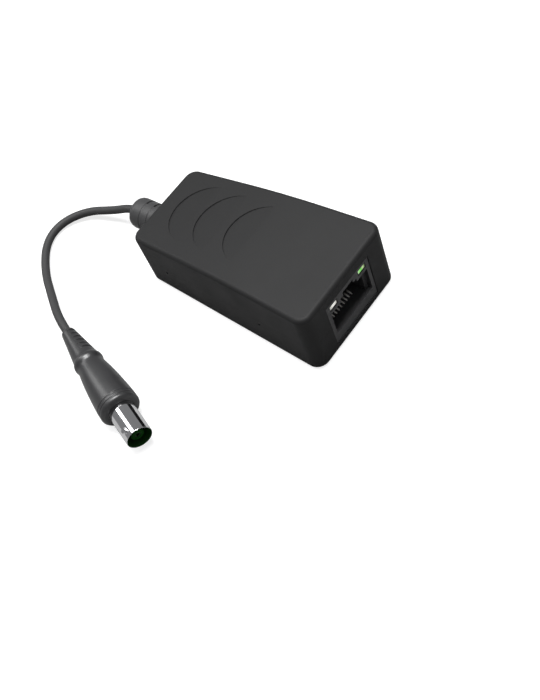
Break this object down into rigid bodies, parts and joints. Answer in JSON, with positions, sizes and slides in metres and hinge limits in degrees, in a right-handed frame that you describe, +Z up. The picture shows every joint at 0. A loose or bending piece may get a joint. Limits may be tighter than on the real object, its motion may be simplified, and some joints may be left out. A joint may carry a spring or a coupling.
{
  "type": "ethernet over coax extender",
  "caption": "Tapered moulded extender box with an RJ45 socket in its front end and, out of its rear end, a short coax lead that ends in a bayonet coax jack.",
  "frame": {"origin": "bottom centre of the box, measured without the lead and its plug", "axes": "+X out of the socket, along the box; +Z up, out of the lid; the lead leaves along -X"},
  "size_m": [0.0923, 0.0692, 0.0183],
  "materials": {
    "shell": "fine moulded grain, charcoal",
    "socket": "smooth satin, near black",
    "relief": "soft satin, black",
    "cable_jacket": "smooth satin, black",
    "hood": "soft satin, dark grey",
    "barrel": "polished nickel",
    "dielectric": "smooth, dark green",
    "contact": "gold plated",
    "ferrule": "dull nickel",
    "copper": "tinned copper",
    "board": "green solder mask",
    "package": "moulded black",
    "winding": "taped winding",
    "ferrite": "dark grey ferrite",
    "can": "drawn can",
    "steel_lid": "plain metal lid",
    "lamp_green": "clear green tinted",
    "lamp_clear": "clear, warm white"
  },
  "bodies": {
    "root": {"top_shell": "shell", "bottom_shell": "shell", "circuit_board": "board", "jack_housing": "socket", "jack_contact_1": "contact", "jack_contact_2": "contact", "jack_contact_3": "contact", "jack_contact_4": "contact", "jack_contact_5": "contact", "jack_contact_6": "contact", "jack_contact_7": "contact", "jack_contact_8": "contact", "lamp_left": "lamp_green", "lamp_right": "lamp_clear", "network_transformer": "package", "modem_chip": "package", "coupling_transformer": "winding", "power_inductor": "ferrite", "capacitor": "can", "crystal": "steel_lid", "gland": "relief", "cable": "cable_jacket", "coax_jacket_end": "cable_jacket", "coax_core_end": "copper", "coax_braid_end": "copper", "plug_hood": "hood", "coax_barrel": "barrel", "dielectric": "dielectric", "centre_contact": "contact", "crimp_ferrule": "ferrule"}
  },
  "joints": []
}
